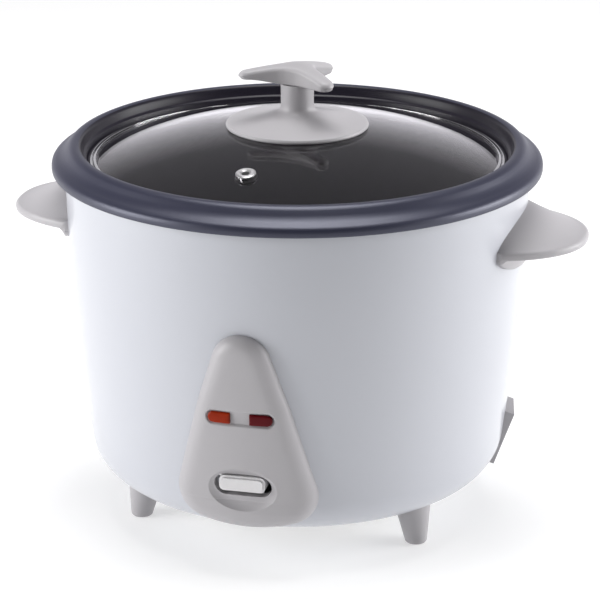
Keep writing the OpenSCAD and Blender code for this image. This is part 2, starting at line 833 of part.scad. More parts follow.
// Grip: one long arm and two short ones, each drawn from the middle to its own tip
module knob_grip() {
    // Each arm's tip: x, y, underside and radius
    tips = [[-26.8, 0, 237.4, 4.2], [14.4, 19, 235.6, 4.6], [14.4, -19, 235.6, 4.6]];
    tip_h = 4.4;
    color(grey)
        rotate([0, 0, knob_turn])
            for (tip = tips)
                hull() {
                    translate([-1, 0, stem_top_z]) cylinder(h = 2, r = 8, $fn = 32);
                    translate([-2, 0, total_h - 3]) cylinder(h = 3, r1 = 7, r2 = 4, $fn = 32);
                    translate([tip[0], tip[1], tip[2]]) {
                        cylinder(h = tip_h - 1, r = tip[3], $fn = 32);
                        cylinder(h = tip_h, r = tip[3] - 1.2, $fn = 32);
                    }
                }
}

module knob_screw() {
    color(steel) translate([0, 0, washer_z]) pan_screw(2.4, 20, 4.5, 3);
}

module knob_washer() {
    color([0.2, 0.2, 0.2])
        translate([0, 0, washer_z])
            difference() {
                cylinder(h = 1.2, r = 7.5);
                translate([0, 0, -1]) cylinder(h = 4, r = 2.6);
            }
}

outer_body();
bottom_plate();
bottom_plate_screws();
foot_front_left();
foot_front_right();
foot_rear();
foot_screws();
handle_left();
handle_right();
handle_screws();
control_panel();
panel_screws();
keep_warm_lens();
cook_lens();
lamp_holder();
neon_lamps();
inlet_housing();
inlet_pins();
inner_liner();
heating_plate();
heater_element();
heater_terminals();
support_legs();
heating_plate_screws();
thermostat_tube();
sensor_cap();
sensor_magnet();
sensor_spring();
plunger_rod();
plunger_magnet();
plunger_spring();
lever_arm();
lever_paddle();
lever_bracket();
lever_pin();
switch_base();
fixed_contact();
contact_leaf();
keep_warm_thermostat();
thermal_fuse();
terminal_block();
live_lead();
neutral_lead();
earth_lead();
heater_leads();
inner_pot();
lid_glass();
lid_rim();
vent_eyelet();
vent_seal();
knob_base();
knob_grip();
knob_screw();
knob_washer();
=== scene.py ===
"""The looks of a rice cooker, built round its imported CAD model. Lengths in mesh code are millimetres."""

import math

import bmesh
import bpy
import numpy as np
from mathutils import Matrix, Vector


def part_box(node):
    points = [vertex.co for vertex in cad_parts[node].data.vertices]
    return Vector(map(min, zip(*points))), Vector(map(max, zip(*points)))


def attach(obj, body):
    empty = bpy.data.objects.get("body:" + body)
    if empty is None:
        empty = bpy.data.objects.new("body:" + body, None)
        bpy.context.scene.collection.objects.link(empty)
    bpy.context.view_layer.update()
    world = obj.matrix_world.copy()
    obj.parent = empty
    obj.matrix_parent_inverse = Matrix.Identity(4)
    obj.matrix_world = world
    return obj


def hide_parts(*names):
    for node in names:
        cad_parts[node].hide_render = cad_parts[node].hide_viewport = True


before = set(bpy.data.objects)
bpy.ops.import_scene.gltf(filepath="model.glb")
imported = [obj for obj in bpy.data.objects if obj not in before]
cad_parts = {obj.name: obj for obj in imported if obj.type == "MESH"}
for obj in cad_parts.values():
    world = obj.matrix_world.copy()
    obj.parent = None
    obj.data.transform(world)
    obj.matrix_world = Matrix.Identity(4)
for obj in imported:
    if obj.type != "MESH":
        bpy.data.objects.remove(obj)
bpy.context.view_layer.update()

MM = 0.001


# ---------------------------------------------------------------- helpers
def low(node, axis):
    """A CAD node's lowest coordinate along an axis, in millimetres."""
    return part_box(node)[0]["xyz".index(axis)] / MM


def high(node, axis):
    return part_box(node)[1]["xyz".index(axis)] / MM


def smooth(t):
    t = min(1.0, max(0.0, t))
    return t * t * (3 - 2 * t)


def mix(a, b, t):
    return a + (b - a) * t


def rounded(corners, closed=True, step=10):
    """An outline with its corners rounded. Each corner is (x, z, radius)."""
    out = []
    count = len(corners)
    for i, (x, z, radius) in enumerate(corners):
        if radius <= 0 or (not closed and i in (0, count - 1)):
            out.append((x, z))
            continue
        p = Vector((x, z))
        before = Vector(corners[i - 1][:2]) - p
        after = Vector(corners[(i + 1) % count][:2]) - p
        half = before.angle(after) / 2
        cut = min(radius / math.tan(half), 0.49 * before.length, 0.49 * after.length)
        r = cut * math.tan(half)
        u, v = before.normalized(), after.normalized()
        centre = p + (u + v).normalized() * (r / math.sin(half))
        start, end = p + u * cut - centre, p + v * cut - centre
        a0 = math.atan2(start.y, start.x)
        turn = (math.atan2(end.y, end.x) - a0 + math.pi) % math.tau - math.pi
        steps = max(2, math.ceil(abs(math.degrees(turn)) / step))
        for k in range(steps + 1):
            a = a0 + turn * k / steps
            out.append((centre.x + r * math.cos(a), centre.y + r * math.sin(a)))
    return out


def arc(x, z, r, a0, a1, steps):
    """Points on an arc, with its angles in degrees."""
    angles = [math.radians(mix(a0, a1, i / steps)) for i in range(steps + 1)]
    return [(x + r * math.cos(a), z + r * math.sin(a)) for a in angles]


def curved(points, steps=5):
    """A smooth open curve through points in a plane, with its ends kept."""
    p = [Vector(q) for q in points]
    p = [2 * p[0] - p[1], *p, 2 * p[-1] - p[-2]]
    out = []
    for i in range(1, len(p) - 2):
        for k in range(steps):
            t = k / steps
            a = 2 * p[i] + (p[i + 1] - p[i - 1]) * t
            b = (2 * p[i - 1] - 5 * p[i] + 4 * p[i + 1] - p[i + 2]) * t * t
            c = (3 * p[i] - p[i - 1] - 3 * p[i + 1] + p[i + 2]) * t**3
            out.append(tuple((a + b + c) / 2))
    return out + [tuple(p[-2])]


def add_piece(name, points, faces, material, body, stands_for=(), slot=None, sharp=50):
    """A smooth mesh object that rides on a body and stands for CAD nodes. Points are in millimetres."""
    mesh = bpy.data.meshes.new(name)
    mesh.from_pydata([Vector(p) * MM for p in points], [], faces)
    bm = bmesh.new()
    bm.from_mesh(mesh)
    bmesh.ops.remove_doubles(bm, verts=bm.verts, dist=1e-7)
    bmesh.ops.dissolve_degenerate(bm, edges=bm.edges, dist=1e-8)
    bmesh.ops.recalc_face_normals(bm, faces=bm.faces)
    bm.to_mesh(mesh)
    bm.free()
    piece = bpy.data.objects.new(name, mesh)
    bpy.context.scene.collection.objects.link(piece)
    mesh.materials.append(material)
    shade(piece, sharp)
    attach(piece, body)
    if stands_for:
        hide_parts(*stands_for)
    return piece


def shade(piece, sharp):
    piece.data.polygons.foreach_set("use_smooth", [True] * len(piece.data.polygons))
    piece.data.set_sharp_from_angle(angle=math.radians(sharp))


def spun(outline, segments=256):
    """Points and faces of a closed outline (radius, z) turned round the Z axis."""
    points, rings, faces = [], [], []
    for r, z in outline:
        size = 1 if r < 1e-6 else segments
        rings.append(range(len(points), len(points) + size))
        turns = [math.tau * k / segments for k in range(size)]
        points += [(r * math.cos(a), r * math.sin(a), z) for a in turns]
    for a, b in zip(rings, rings[1:] + rings[:1]):
        for k in range(segments if len(a) + len(b) > 2 else 0):
            n = (k + 1) % segments
            corners = [a[k % len(a)], a[n % len(a)], b[n % len(b)], b[k % len(b)]]
            faces.append(list(dict.fromkeys(corners)))
    return points, faces


def looped(rings):
    """Points and faces of rings joined in a closed loop, each ring closed too."""
    size = len(rings[0])
    points = [p for ring in rings for p in ring]
    faces = []
    for i in range(len(rings)):
        a, b = i * size, (i + 1) % len(rings) * size
        for k in range(size):
            n = (k + 1) % size
            faces.append((a + k, a + n, b + n, b + k))
    return points, faces


def cut(piece, points, faces, sharp=50):
    """Cuts a closed shape out of a piece."""
    mesh = bpy.data.meshes.new("cutter")
    mesh.from_pydata([Vector(p) * MM for p in points], [], faces)
    bm = bmesh.new()
    bm.from_mesh(mesh)
    bmesh.ops.recalc_face_normals(bm, faces=bm.faces)
    bm.to_mesh(mesh)
    bm.free()
    cutter = bpy.data.objects.new("cutter", mesh)
    bpy.context.scene.collection.objects.link(cutter)
    tool = piece.modifiers.new("cut", "BOOLEAN")
    tool.operation = "DIFFERENCE"
    tool.solver = "EXACT"
    tool.object = cutter
    graph = bpy.context.evaluated_depsgraph_get()
    done = bpy.data.meshes.new_from_object(piece.evaluated_get(graph))
    piece.modifiers.clear()
    piece.data = done
    bpy.data.objects.remove(cutter)
    shade(piece, sharp)


def prism(outline, near, far, place=Matrix.Identity(4)):
    """An outline in X and Z drawn out along -Y between two distances, then moved by a matrix."""
    count = len(outline)
    points = [place @ Vector((x, -d, z)) for d in (near, far) for x, z in outline]
    faces = [tuple(range(count)), tuple(range(2 * count - 1, count - 1, -1))]
    faces += [(k, (k + 1) % count, count + (k + 1) % count, count + k) for k in range(count)]
    return points, faces


# ---------------------------------------------------------------- materials
def node_tree(name):
    material = bpy.data.materials.new(name)
    material.use_nodes = True
    nodes = material.node_tree.nodes
    nodes.clear()
    out = nodes.new("ShaderNodeOutputMaterial")
    shader = nodes.new("ShaderNodeBsdfPrincipled")
    material.node_tree.links.new(shader.outputs[0], out.inputs[0])
    where = nodes.new("ShaderNodeTexCoord").outputs["Object"]
    return material, nodes, material.node_tree.links, shader, where


def noise_node(nodes, links, where, scale, detail=3.0, stretch=None):
    """Noise over object space. The scale is per metre."""
    noise = nodes.new("ShaderNodeTexNoise")
    noise.inputs["Scale"].default_value = scale
    noise.inputs["Detail"].default_value = detail
    if stretch:
        mapping = nodes.new("ShaderNodeMapping")
        mapping.inputs["Scale"].default_value = stretch
        links.new(where, mapping.inputs["Vector"])
        where = mapping.outputs[0]
    links.new(where, noise.inputs["Vector"])
    return noise.outputs["Fac"]


def mapped(nodes, links, value, low_in, high_in, low_out, high_out):
    node = nodes.new("ShaderNodeMapRange")
    for socket, number in zip(node.inputs[1:5], (low_in, high_in, low_out, high_out)):
        socket.default_value = number
    links.new(value, node.inputs[0])
    return node.outputs[0]


def mixed_colour(nodes, links, value, a, b):
    """A colour between a and b. Either may be a socket."""
    node = nodes.new("ShaderNodeMix")
    node.data_type = "RGBA"
    links.new(value, node.inputs["Factor"])
    for socket, colour in ((node.inputs[6], a), (node.inputs[7], b)):
        if isinstance(colour, tuple):
            socket.default_value = (*colour, 1)
        else:
            links.new(colour, socket)
    return node.outputs[2]


def bumped(nodes, links, shader, height, depth):
    """Bump of a real depth in metres."""
    bump = nodes.new("ShaderNodeBump")
    bump.inputs["Distance"].default_value = depth
    links.new(height, bump.inputs["Height"])
    links.new(bump.outputs[0], shader.inputs["Normal"])


def surface(name, colour, rough, metal=0.0, vary=0.03, patch=22, rough_vary=0.05,
            grain=900, grain_depth=0.00001, stretch=None, **sockets):
    """A material whose colour and roughness drift in soft patches, with a fine grain."""
    material, nodes, links, shader, where = node_tree(name)
    patches = noise_node(nodes, links, where, patch, stretch=stretch)
    drift = mapped(nodes, links, patches, 0.2, 0.8, 0.0, 1.0)
    dark = tuple(c * (1 - vary) for c in colour)
    light = tuple(min(1.0, c * (1 + vary)) for c in colour)
    links.new(mixed_colour(nodes, links, drift, dark, light), shader.inputs["Base Color"])
    spread = mapped(nodes, links, patches, 0.2, 0.8, rough - rough_vary, rough + rough_vary)
    links.new(spread, shader.inputs["Roughness"])
    fine = noise_node(nodes, links, where, grain, 2.0, stretch)
    bumped(nodes, links, shader, fine, grain_depth)
    shader.inputs["Metallic"].default_value = metal
    for socket, value in sockets.items():
        shader.inputs[socket.replace("_", " ")].default_value = value
    return material


ENAMEL = surface("white_enamel", (0.475, 0.487, 0.53), 0.34, vary=0.006, patch=9, rough_vary=0.012, grain=420,
                 grain_depth=0.000004, Coat_Weight=0.5, Coat_Roughness=0.10)
GREY = surface("grey_plastic", (0.385, 0.373, 0.388), 0.44, vary=0.02, grain=2600, grain_depth=0.000012)
PADDLE = surface("paddle_plastic", (0.66, 0.65, 0.66), 0.30, vary=0.015, grain=1800, Coat_Weight=0.3,
                 Coat_Roughness=0.12)
STEEL = surface("brushed_steel", (0.72, 0.72, 0.73), 0.20, 1.0, vary=0.05, rough_vary=0.06, grain=700,
                stretch=(1, 1, 9))
SLATE = surface("slate_coat", (0.022, 0.023, 0.043), 0.42, 0.12, vary=0.12, patch=1900, rough_vary=0.05,
                grain=2400, grain_depth=0.000008, Specular_IOR_Level=0.7,
                Specular_Tint=(0.84, 0.86, 1.0, 1.0), Coat_Weight=0.08, Coat_Roughness=0.2)
NON_STICK = surface("non_stick_coat", (0.015, 0.013, 0.021), 0.34, vary=0.25, patch=1400, rough_vary=0.06,
                    grain=1800, grain_depth=0.000008, Specular_IOR_Level=0.22)
VENT_METAL = surface("vent_metal", (0.64, 0.63, 0.64), 0.36, 0.9, vary=0.06, rough_vary=0.05, grain=900)
POLISHED = surface("polished_steel", (0.80, 0.80, 0.81), 0.10, 1.0, vary=0.03, rough_vary=0.03,
                   grain=400, grain_depth=0.000004)
ALUMINIUM = surface("cast_aluminium", (0.66, 0.66, 0.67), 0.42, 1.0, vary=0.08, patch=60, grain=1400,
                    grain_depth=0.00004)
GLASS = surface("lid_glass", (0.975, 0.955, 0.985), 0.012, vary=0.01, rough_vary=0.008, grain=60,
                grain_depth=0.000002, Transmission_Weight=1.0, IOR=1.5)
LAMP_GLASS = surface("lamp_glass", (0.95, 0.93, 0.90), 0.03, vary=0.02, rough_vary=0.02, grain=200,
                     grain_depth=0.000004, Transmission_Weight=0.9, IOR=1.47)
ORANGE = surface("orange_lens", (0.235, 0.016, 0.001), 0.34, vary=0.16, patch=160, rough_vary=0.06,
                 grain=500, Specular_IOR_Level=0.12)
RED = surface("red_lens", (0.085, 0.002, 0.005), 0.34, vary=0.16, patch=160, rough_vary=0.06, grain=500,
              Specular_IOR_Level=0.12)
RUBBER = surface("dark_silicone", (0.03, 0.03, 0.032), 0.62, vary=0.1, grain=1500, grain_depth=0.00003)
PHENOLIC = surface("phenolic", (0.045, 0.035, 0.028), 0.50, vary=0.18, patch=120, grain=1600,
                   grain_depth=0.00002)
NYLON = surface("natural_nylon", (0.62, 0.60, 0.54), 0.45, vary=0.05, grain=1500)
COPPER = surface("copper_alloy", (0.80, 0.52, 0.30), 0.28, 1.0, vary=0.12, patch=150, grain=900)
MAGNET = surface("sintered_magnet", (0.06, 0.06, 0.065), 0.55, 0.4, vary=0.2, patch=300, grain=2500,
                 grain_depth=0.00003)
GLAZED = surface("steatite", (0.74, 0.71, 0.64), 0.38, vary=0.06, patch=90, grain=1200)
BROWN = surface("brown_insulation", (0.14, 0.055, 0.025), 0.48, vary=0.08, patch=90, grain=1500)
BLUE = surface("blue_insulation", (0.03, 0.09, 0.36), 0.48, vary=0.08, patch=90, grain=1500)
GREEN = surface("green_insulation", (0.10, 0.34, 0.06), 0.48, vary=0.25, patch=140, grain=1500)
SLEEVE = surface("glass_fibre_sleeve", (0.55, 0.50, 0.40), 0.75, vary=0.15, patch=700, grain=2600,
                 grain_depth=0.00006)
PAPER = surface("pale_floor", (0.62, 0.62, 0.62), 0.85, vary=0.006, patch=3, grain=800,
                Emission_Color=(1.0, 1.0, 1.0, 1.0), Emission_Strength=0.46)

CAD_MATERIALS = {
    STEEL: ("bottom_plate", "bottom_plate_screws", "foot_screws", "handle_screws", "panel_screws",
            "heater_terminals", "support_legs", "heating_plate_screws", "thermostat_tube",
            "sensor_spring", "plunger_rod", "plunger_spring", "lever_arm", "lever_bracket", "lever_pin",
            "knob_screw", "keep_warm_thermostat"),
    POLISHED: ("inlet_pins",),
    VENT_METAL: ("vent_eyelet",),
    ALUMINIUM: ("heating_plate", "heater_element", "sensor_cap", "inner_liner"),
    COPPER: ("contact_leaf", "fixed_contact"),
    MAGNET: ("sensor_magnet", "plunger_magnet"),
    RUBBER: ("vent_seal", "knob_washer"),
    PHENOLIC: ("switch_base", "thermal_fuse"),
    NYLON: ("lamp_holder",),
    GLAZED: ("terminal_block",),
    LAMP_GLASS: ("neon_lamps",),
    GREY: ("inlet_housing",),
    PADDLE: ("lever_paddle",),
    BROWN: ("live_lead",),
    BLUE: ("neutral_lead",),
    GREEN: ("earth_lead",),
    SLEEVE: ("heater_leads",),
}
for material, names in CAD_MATERIALS.items():
    for name in names:
        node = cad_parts[name]
        if not node.material_slots:
            node.data.materials.append(material)
        for socket in node.material_slots:
            socket.material = material

# ---------------------------------------------------------------- body
BODY_R = high("outer_body", "x")
BODY_TOP = high("outer_body", "z")
BODY_LOW = low("outer_body", "z")
SHEET = 1.0
CORNER_R = 24
CORNER_MID = (88.6, 46.1)
CONE_SLOPE = 22
WALL_LEAN, WALL_BOW = 0.0125, 0.000407
RING_R = 72
RING_HOLE_R = 58


def wall_r(z):
    """Outer radius of the body's wall, which leans and bows."""
    drop = BODY_TOP - z
    return BODY_R - WALL_LEAN * drop - WALL_BOW * drop * drop


def body_outline():
    corner = arc(*CORNER_MID, CORNER_R, CONE_SLOPE - 90, -6, 24)
    heights = [mix(CORNER_MID[1], BODY_TOP - 1.2, i / 40) for i in range(1, 41)]
    outer = [(RING_R, BODY_LOW), *corner, *((wall_r(z), z) for z in heights)]
    top = arc(BODY_R - 1.2, BODY_TOP - 1.2, 1.2, 15, 90, 6)
    lip = [(BODY_R - 6, BODY_TOP), (BODY_R - 6, BODY_TOP - SHEET), (BODY_R - 2, BODY_TOP - SHEET)]
    inner_corner = arc(*CORNER_MID, CORNER_R - SHEET, -6, CONE_SLOPE - 90, 16)
    inner = [(wall_r(z) - SHEET, z) for z in reversed(heights[:-2])]
    floor = [(RING_R, BODY_LOW + SHEET), (RING_HOLE_R, BODY_LOW + SHEET), (RING_HOLE_R, BODY_LOW)]
    return outer + top + lip + inner + inner_corner + floor


def body_low_z(r):
    """Height of the body's underside at a radius."""
    if r < RING_R:
        return BODY_LOW
    cone_end = CORNER_MID[0] + CORNER_R * math.sin(math.radians(CONE_SLOPE))
    if r < cone_end:
        return BODY_LOW + (r - RING_R) * math.tan(math.radians(CONE_SLOPE))
    across = min(r - CORNER_MID[0], CORNER_R)
    return CORNER_MID[1] - math.sqrt(CORNER_R**2 - across**2)


body = add_piece("body_shell", *spun(body_outline(), 320), ENAMEL, "housing", ("outer_body",), "white_enamel")

LENS_Z = (low("cook_lens", "z") + high("cook_lens", "z")) / 2
SLOT_Z = 55.0
cut(body, *prism(rounded([(-17.4, LENS_Z - 4.6, 2), (17.4, LENS_Z - 4.6, 2),
                          (17.4, LENS_Z + 4.6, 2), (-17.4, LENS_Z + 4.6, 2)]), 105, 135))
cut(body, *prism(rounded([(-14, 46, 3), (14, 46, 3), (14, 64, 3), (-14, 64, 3)]), 105, 135))
INLET_TURN, INLET_TILT = 100, 20
INLET_MID = (108.9, 41.8)
inlet_place = (Matrix.Rotation(math.radians(INLET_TURN), 4, "Z")
               @ Matrix.Translation((0, -INLET_MID[0], INLET_MID[1]))
               @ Matrix.Rotation(math.radians(INLET_TILT), 4, "X"))
cut(body, *prism([(-12.1, -15.6), (12.1, -15.6), (12.1, 15.6), (-12.1, 15.6)], -20, 20, inlet_place))

# ---------------------------------------------------------------- pot
RIM_R = high("inner_pot", "x")
RIM_TOP = high("inner_pot", "z")
POT_LOW = low("inner_pot", "z")
SEAT_Z = 194.0
POT_WALL = 1.5


def pot_outline():
    outside = [(0, POT_LOW), *arc(90, POT_LOW + 16, 16, -90, -4, 16), (110, 191.0), (110.4, 191.7)]
    under = curved([(113.2, 192.5), (113.8, 193.4), (115.0, 200.6), (116.2, 201.9), (118.4, 202.1),
                    (120.2, 200.9), (122.2, 198.4), (124.6, 196.4), (127.2, 194.9), (128.5, 193.4),
                    (128.9, 191.8), (129.4, 191.2), (129.8, 191.4), (RIM_R, 192.2), (RIM_R, 193.6)], 4)
    brim = curved([(RIM_R, 193.6), (129.7, 194.9), (128.9, 196.0), (127.6, 196.9), (126.0, 197.7),
                   (124.5, 198.7), (123.1, 200.0), (121.8, 201.6), (120.7, 202.9), (119.4, 203.8),
                   (117.9, RIM_TOP), (116.5, RIM_TOP - 0.05), (115.3, 203.8), (114.5, 203.0),
                   (113.9, 201.6)], 5)
    neck = [(113.3, 198.9), (112.9, 198.4), (111.9, 198.1), (111.6, 197.5), (111.5, 195.0), (111.2, 194.3),
            (110.7, SEAT_Z), (109.0, SEAT_Z), (108.6, 193.7), (108.4, 193.0)]
    inside = arc(90, POT_LOW + 16, 16 - POT_WALL, -4, -90, 16)
    return outside + under + brim[1:] + neck + inside + [(0, POT_LOW + POT_WALL)]


pot = add_piece("pot_shell", *spun(pot_outline(), 320), SLATE, "pot", ("inner_pot",), "slate_nonstick", 60)
pot.data.materials.append(NON_STICK)
CREST_IN = 115.6
for face in pot.data.polygons:
    radius = face.center.xy.length / MM
    outward = face.normal.xy.dot(face.center.xy)
    if radius < CREST_IN and (outward < 0 or face.normal.z > 0.3):
        face.material_index = 1

# ---------------------------------------------------------------- lid
GLASS_R = high("lid_glass", "x")
DOME_TOP = high("lid_glass", "z")
GLASS_T = 4.0
DOME_EDGE_R, DOME_RISE = 108.0, 18.9
DOME_R = (DOME_EDGE_R**2 + DOME_RISE**2) / (2 * DOME_RISE)
DOME_MID = DOME_TOP - DOME_R


def dome_z(r, deep=0.0):
    return DOME_MID + math.sqrt((DOME_R - deep) ** 2 - r * r)


def glass_outline():
    steps = [mix(3, GLASS_R - 0.5, i / 60) for i in range(61)]
    top = [(r, dome_z(r)) for r in steps]
    edge = [(GLASS_R - 0.1, dome_z(GLASS_R) - 0.1), (GLASS_R, dome_z(GLASS_R) - 0.6),
            (GLASS_R, dome_z(GLASS_R, GLASS_T) + 0.6), (GLASS_R - 0.1, dome_z(GLASS_R, GLASS_T) + 0.1)]
    return top + edge + [(r, dome_z(r, GLASS_T)) for r in reversed(steps)]


lid = add_piece("lid_dome", *spun(glass_outline(), 288), GLASS, "lid", ("lid_glass",), "glass", 60)
VENT_R, VENT_TURN = 73.5, -7.3
vent_place = (Matrix.Rotation(math.radians(VENT_TURN), 4, "Z")
              @ Matrix.Translation((0, -VENT_R, dome_z(VENT_R)))
              @ Matrix.Rotation(math.asin(VENT_R / DOME_R), 4, "X"))
vent_hole = [(4, -10), (4, 10), (0, 10), (0, -10)]
points, faces = spun(vent_hole, 48)
cut(lid, [vent_place @ Vector(p) for p in points], faces, 60)

rim = [(GLASS_R, 191.2, 0.2), (105.8, 191.2, 0.2), (105.8, 190.4, 0.2), (107.8, 190.4, 0.3),
       (107.8, SEAT_Z, 0.2), (110.2, SEAT_Z, 0.5), (110.2, 195.6, 0.6), (108.9, 195.6, 0.3),
       (108.9, 195.0, 0.1), (108.4, 195.0, 0.1), (108.4, 196.1, 0.5), (106.7, 196.2, 0.3),
       (106.7, 195.75, 0.05), (GLASS_R, 195.65, 0.02)]
add_piece("lid_band", *spun(rounded(rim, step=20), 288), POLISHED, "lid", ("lid_rim",), "steel", 60)

DISC_R = high("knob_base", "x")
STEM_TOP = high("knob_base", "z")
knob = curved([(DISC_R - 0.5, dome_z(DISC_R) + 0.05), (DISC_R, 212.5), (DISC_R - 0.3, 213.5),
               (36.8, 214.05), (33.5, 214.6), (28, 215.5), (22, 216.8), (17, 218.1), (13.0, 219.2),
               (10.4, 220.2), (9.2, 221.5), (8.75, 223.5), (8.7, 227), (8.8, STEM_TOP)])
under = [(r, dome_z(r) + 0.05) for r in (0, 6, 12, 18, 24, 30, 35)]
add_piece("knob_disc", *spun(under + knob + [(0, STEM_TOP)], 192),
          GREY, "lid", ("knob_base",), "grey_plastic")

# Grip: three drooping arms in one smooth outline, drawn as rings from the middle out
KNOB_TURN = 13.4
GRIP_TOP = high("knob_grip", "z")
GRIP_LOW = low("knob_grip", "z")
ARMS = (((-26.8, 0.0), 4.2), ((14.4, 19.0), 4.5), ((14.4, -19.0), 4.5))
MIDDLE_R = 6.6
BLEND = 1.9


def grip_inside(x, y):
    """Distance inside the grip's outline."""
    total = 0.0
    for (ax, ay), tip in ARMS:
        along = min(1.0, max(0.0, (x * ax + y * ay) / (ax * ax + ay * ay)))
        radius = mix(MIDDLE_R, tip, along**0.6)
        total += math.exp((radius - math.hypot(x - ax * along, y - ay * along)) / BLEND)
    return math.log(total) * BLEND


def grip_edge(a):
    near, far = 0.0, 40.0
    for _ in range(40):
        middle = (near + far) / 2
        if grip_inside(middle * math.cos(a), middle * math.sin(a)) > 0:
            near = middle
        else:
            far = middle
    return near


def grip_heights(x, y, inside):
    """Top and bottom of the grip at a place, with its edges rounded."""
    r = math.hypot(x, y)
    left = smooth(0.5 - x / 12)
    crown = GRIP_TOP - mix(5.8 * (r / 28.4) ** 1.45, 4.6 * (r / 31.0) ** 1.4, left)
    keel = GRIP_LOW + mix(0.6, 2.4, left) * smooth((r - 6) / 20)
    dome = 0.9 * (1 - min(1.0, inside / 7)) ** 2
    top_r, low_r = 1.7, 1.1
    top = crown - dome - top_r + math.sqrt(top_r**2 - (top_r - min(inside, top_r)) ** 2)
    return top, keel + low_r - math.sqrt(low_r**2 - (low_r - min(inside, low_r)) ** 2)


def grip_rings(count=320, rings=64):
    """Rings over the top from the middle to the edge, down the side, and back under to the middle."""
    turn = Matrix.Rotation(math.radians(KNOB_TURN), 3, "Z")
    angles = [math.tau * k / count for k in range(count)]
    edges = [grip_edge(a) for a in angles]
    tops, bottoms = [], []
    for i in range(rings + 1):
        share = 1 - (1 - i / rings) ** 1.9
        top, bottom = [], []
        for a, edge in zip(angles, edges):
            r = max(edge * share, 0.01)
            x, y = r * math.cos(a), r * math.sin(a)
            inside = max(0.0, grip_inside(x, y)) if i < rings else 0.0
            high_z, low_z = grip_heights(x, y, inside)
            tuck = max(0.0, r - 0.9 * share) / r
            top.append(turn @ Vector((x, y, high_z)))
            bottom.append(turn @ Vector((x * tuck, y * tuck, low_z)))
        tops.append(top)
        bottoms.append(bottom)
    return tops + bottoms[::-1]


def capped(rings):
    """Points and faces of a stack of rings whose first and last are closed with a cap."""
    size = len(rings[0])
    points = [p for ring in rings for p in ring]
    faces = [tuple(range(size)), tuple(len(points) - 1 - k for k in range(size))]
    for i in range(len(rings) - 1):
        for k in range(size):
            n = (k + 1) % size
            faces.append((i * size + k, i * size + n, (i + 1) * size + n, (i + 1) * size + k))
    return points, faces


add_piece("knob_arms", *capped(grip_rings()), GREY, "lid", ("knob_grip",), "grey_plastic", 60)

# ---------------------------------------------------------------- handles
HANDLE_TIP = high("handle_right", "x")
HANDLE_HALF = high("handle_right", "y")
HANDLE_TOP = 163.2
FLANGE_T = 4.2
FLANGE_ROOT = 112.0
ROOT_HALF, ROOT_Z, ROOT_UP, ROOT_DOWN = 42.6, 160.0, 15.5, 13.0
EDGE_TOP, EDGE_LOW = 2.2, 1.2
LEAF_SIDE, LEAF_TIP = 2.3, 0.68


def handle_section(phi):
    """A closed loop from the wall over the flange, round its edge and back under, at one place along it."""
    share = math.cos(phi)
    y_root, y_tip = (ROOT_HALF - 0.3) * share, HANDLE_HALF * share
    x_root = math.sqrt(wall_r(HANDLE_TOP) ** 2 - y_root**2) - 0.6
    x_tip = FLANGE_ROOT + (HANDLE_TIP - FLANGE_ROOT) * (1 - abs(share) ** LEAF_SIDE) ** LEAF_TIP
    if x_tip < x_root + 3.5:
        x_tip = x_root + 3.5
        left = 1 - ((x_tip - FLANGE_ROOT) / (HANDLE_TIP - FLANGE_ROOT)) ** (1 / LEAF_TIP)
        y_tip = math.copysign(HANDLE_HALF * left ** (1 / LEAF_SIDE), share)
    length = math.hypot(x_tip - x_root, y_tip - y_root)
    bulge = math.sqrt(max(0.0, 1 - (y_root / ROOT_HALF) ** 2))
    rise = max(0.0, ROOT_UP * bulge - (HANDLE_TOP - ROOT_Z))
    low = HANDLE_TOP - FLANGE_T
    sag = max(0.0, ROOT_DOWN * bulge - (ROOT_Z - low))
    ramp = max(3.0, length * 0.92)
    edge_top = min(EDGE_TOP, length * 0.5)
    loop = []
    for i in range(25):
        d = (length - edge_top) * (i / 24) ** 1.3
        loop.append((d, HANDLE_TOP + rise * max(0.0, 1 - d / ramp) ** 1.35))
    for i in range(1, 9):
        a = math.radians(90 - 90 * i / 8)
        loop.append((length + edge_top * (math.cos(a) - 1), HANDLE_TOP + EDGE_TOP * (math.sin(a) - 1)))
    for i in range(7):
        a = math.radians(-90 * i / 6)
        loop.append((length + EDGE_LOW * (math.cos(a) - 1), low + EDGE_LOW * (math.sin(a) + 1)))
    for i in range(1, 33):
        d = (length - EDGE_LOW) * (1 - i / 32) ** 1.3
        loop.append((d, low - sag * (1 - smooth((d - 2.2) / 3.4))))
    return [(mix(x_root, x_tip, d / length), mix(y_root, y_tip, d / length), z) for d, z in loop]


def handle_mesh(side):
    sections = [handle_section(math.pi * i / 160) for i in range(161)]
    points, faces = capped(sections)
    return [(side * x, side * y, z) for x, y, z in points], faces


for side, name in ((-1, "left"), (1, "right")):
    add_piece(f"handle_{name}_skin", *handle_mesh(side), GREY, "housing", (f"handle_{name}",),
              "grey_plastic", 60)

# ---------------------------------------------------------------- control panel
PROUD = 7.0
SOFT_EDGE, SOFT_POWER = 11.0, 2.8
DISH_MID_Z, DISH_HALF_W, DISH_HALF_H, DISH_DEPTH = 53.0, 18.0, 12.2, 2.5
STRIP_DEPTH = 1.3
EGG_CORNER = (18.5, 48.5, 18.3)
EGG_SIDE = (0.0, 92.0, 24.8)
EGG_TOP = (0.0, 121.5, 15.5)
EGG_BOTTOM = (0.0, 104.0, 76.8)
SLOT_W, SLOT_H = 30.0, 12.4
STRIP_W, STRIP_H = 35.0, 7.4


def tangent_angle(p, q):
    """Direction, in degrees, of the common tangent's normal for two circles given as x, z, radius."""
    across, down = p[0] - q[0], q[1] - p[1]
    lean = math.acos((q[2] - p[2]) / math.hypot(across, down))
    return math.degrees(lean - math.atan2(down, across))


